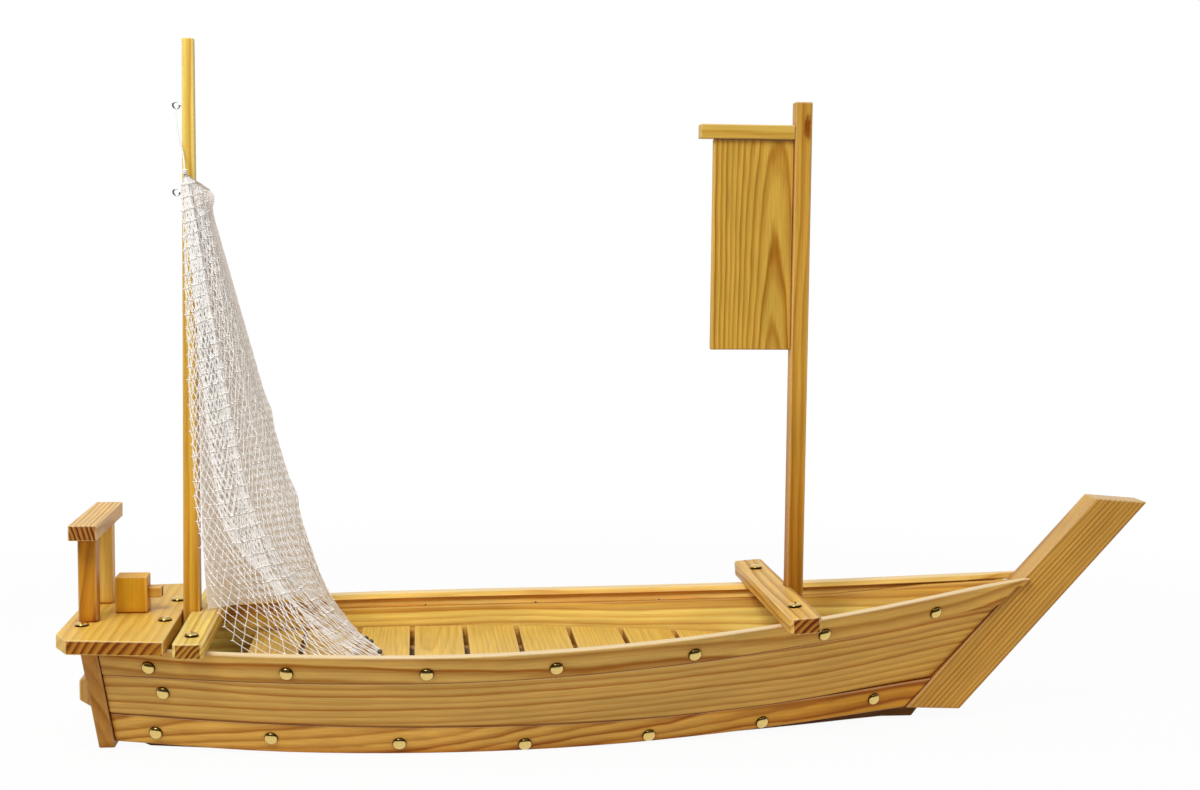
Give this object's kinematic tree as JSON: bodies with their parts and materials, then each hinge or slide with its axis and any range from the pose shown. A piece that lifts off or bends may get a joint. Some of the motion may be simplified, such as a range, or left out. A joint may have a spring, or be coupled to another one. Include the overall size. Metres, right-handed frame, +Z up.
{
  "type": "sushi boat",
  "caption": "Lapped-plank pine serving boat with a raised slatted floor, a stern deck and two lift-out masts that carry a board sail and a hanging net.",
  "frame": {"origin": "on the table under the middle of the boat's length and beam", "axes": "+X to the bow, +Y to port, +Z up"},
  "size_m": [0.9, 0.2626, 0.5628],
  "materials": {
    "pine_planks": "oiled, satin",
    "pine_floor": "oiled, satin",
    "pine_masts": "oiled, satin",
    "brass": "polished",
    "steel": "bright",
    "twine": "matt"
  },
  "bodies": {
    "hull": {"bottom_board": "pine_planks", "starboard_lower_strake": "pine_planks", "starboard_side_plank": "pine_planks", "starboard_top_strake": "pine_planks", "port_lower_strake": "pine_planks", "port_side_plank": "pine_planks", "port_top_strake": "pine_planks", "transom": "pine_planks", "rudder_block": "pine_planks", "stem_post": "pine_planks", "aft_deck": "pine_planks", "starboard_gantry_post": "pine_planks", "port_gantry_post": "pine_planks", "gantry_bar": "pine_planks", "bitt_block": "pine_planks", "bitt_bar": "pine_planks", "aft_thwart": "pine_planks", "fore_thwart": "pine_planks", "floor_frame_aft": "pine_floor", "floor_frame_mid": "pine_floor", "floor_frame_fore": "pine_floor", "starboard_floor_bearer": "pine_floor", "port_floor_bearer": "pine_floor", "floor_slat_01": "pine_floor", "floor_slat_02": "pine_floor", "floor_slat_03": "pine_floor", "floor_slat_04": "pine_floor", "floor_slat_05": "pine_floor", "floor_slat_06": "pine_floor", "floor_slat_07": "pine_floor", "floor_slat_08": "pine_floor", "floor_slat_09": "pine_floor", "aft_mast_step": "pine_floor", "fore_mast_step": "pine_floor", "starboard_gunwale_nail_1": "brass", "starboard_gunwale_nail_2": "brass", "starboard_gunwale_nail_3": "brass", "starboard_gunwale_nail_4": "brass", "starboard_gunwale_nail_5": "brass", "starboard_gunwale_nail_6": "brass", "starboard_gunwale_nail_7": "brass", "port_gunwale_nail_1": "brass", "port_gunwale_nail_2": "brass", "port_gunwale_nail_3": "brass", "port_gunwale_nail_4": "brass", "port_gunwale_nail_5": "brass", "port_gunwale_nail_6": "brass", "port_gunwale_nail_7": "brass", "starboard_aft_thwart_nail": "brass", "port_aft_thwart_nail": "brass", "starboard_fore_thwart_nail": "brass", "port_fore_thwart_nail": "brass"},
    "aft_rig": {"aft_mast": "pine_masts", "upper_hook": "steel", "lower_hook": "steel", "net": "twine", "net_cord": "twine"},
    "fore_rig": {"fore_mast": "pine_masts", "sail_board": "pine_masts", "sail_yard": "pine_masts"}
  },
  "joints": [
    {"name": "aft_mast_lift", "type": "slide", "parent": "hull", "child": "aft_rig", "axis": [0, 0, 1], "range_m": [0, 0.12]},
    {"name": "fore_mast_lift", "type": "slide", "parent": "hull", "child": "fore_rig", "axis": [0, 0, 1], "range_m": [0, 0.12]}
  ]
}
